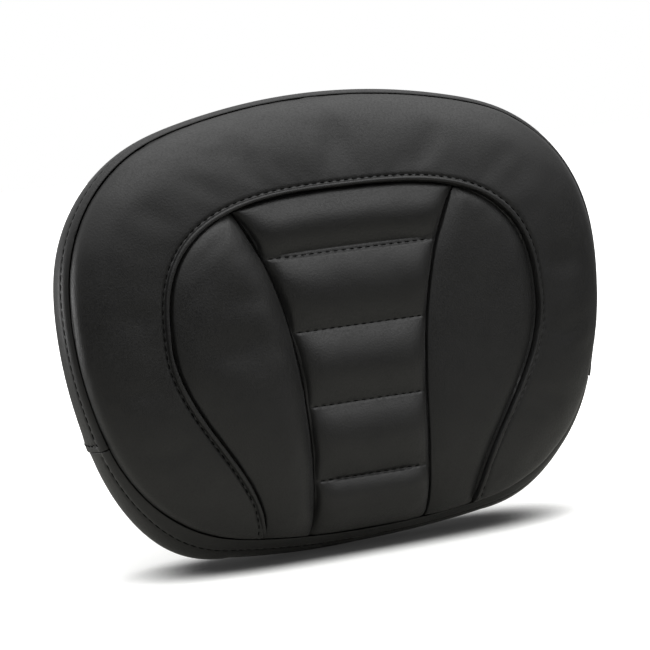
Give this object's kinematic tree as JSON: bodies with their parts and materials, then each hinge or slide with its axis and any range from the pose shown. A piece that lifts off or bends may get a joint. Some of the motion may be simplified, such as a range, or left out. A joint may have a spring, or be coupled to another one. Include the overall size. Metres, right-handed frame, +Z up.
{
  "type": "motorcycle sissy bar pad",
  "caption": "Padded motorcycle back rest with a crowned sewn face, a channelled centre panel, a stitched side band and a flat back with a threaded bolt pattern.",
  "frame": {"origin": "centre of the bolt pattern, on the flat outer face of the back cover", "axes": "+X to the right seen from the front, across the pad and its symmetry axis; +Y out of the back; the padded face looks along -Y; +Z up"},
  "size_m": [0.3382, 0.0689, 0.261],
  "materials": {
    "vinyl": "fine-grained black upholstery vinyl, satin",
    "foam": "open polyurethane foam",
    "board": "plywood, sawn edge",
    "lining": "plain woven pull strip",
    "steel": "zinc plated",
    "cover_plastic": "moulded, fine texture",
    "screw_black": "black oxide"
  },
  "bodies": {
    "root": {"outer_panel": "vinyl", "left_panel": "vinyl", "right_panel": "vinyl", "centre_panel": "vinyl", "upper_band": "vinyl", "lower_band": "vinyl", "flute_foam": "foam", "foam_core": "foam", "base_board": "board", "pull_strip": "lining", "staples": "steel", "tee_nuts": "steel", "back_cover": "cover_plastic", "cover_screws": "screw_black"}
  },
  "joints": []
}
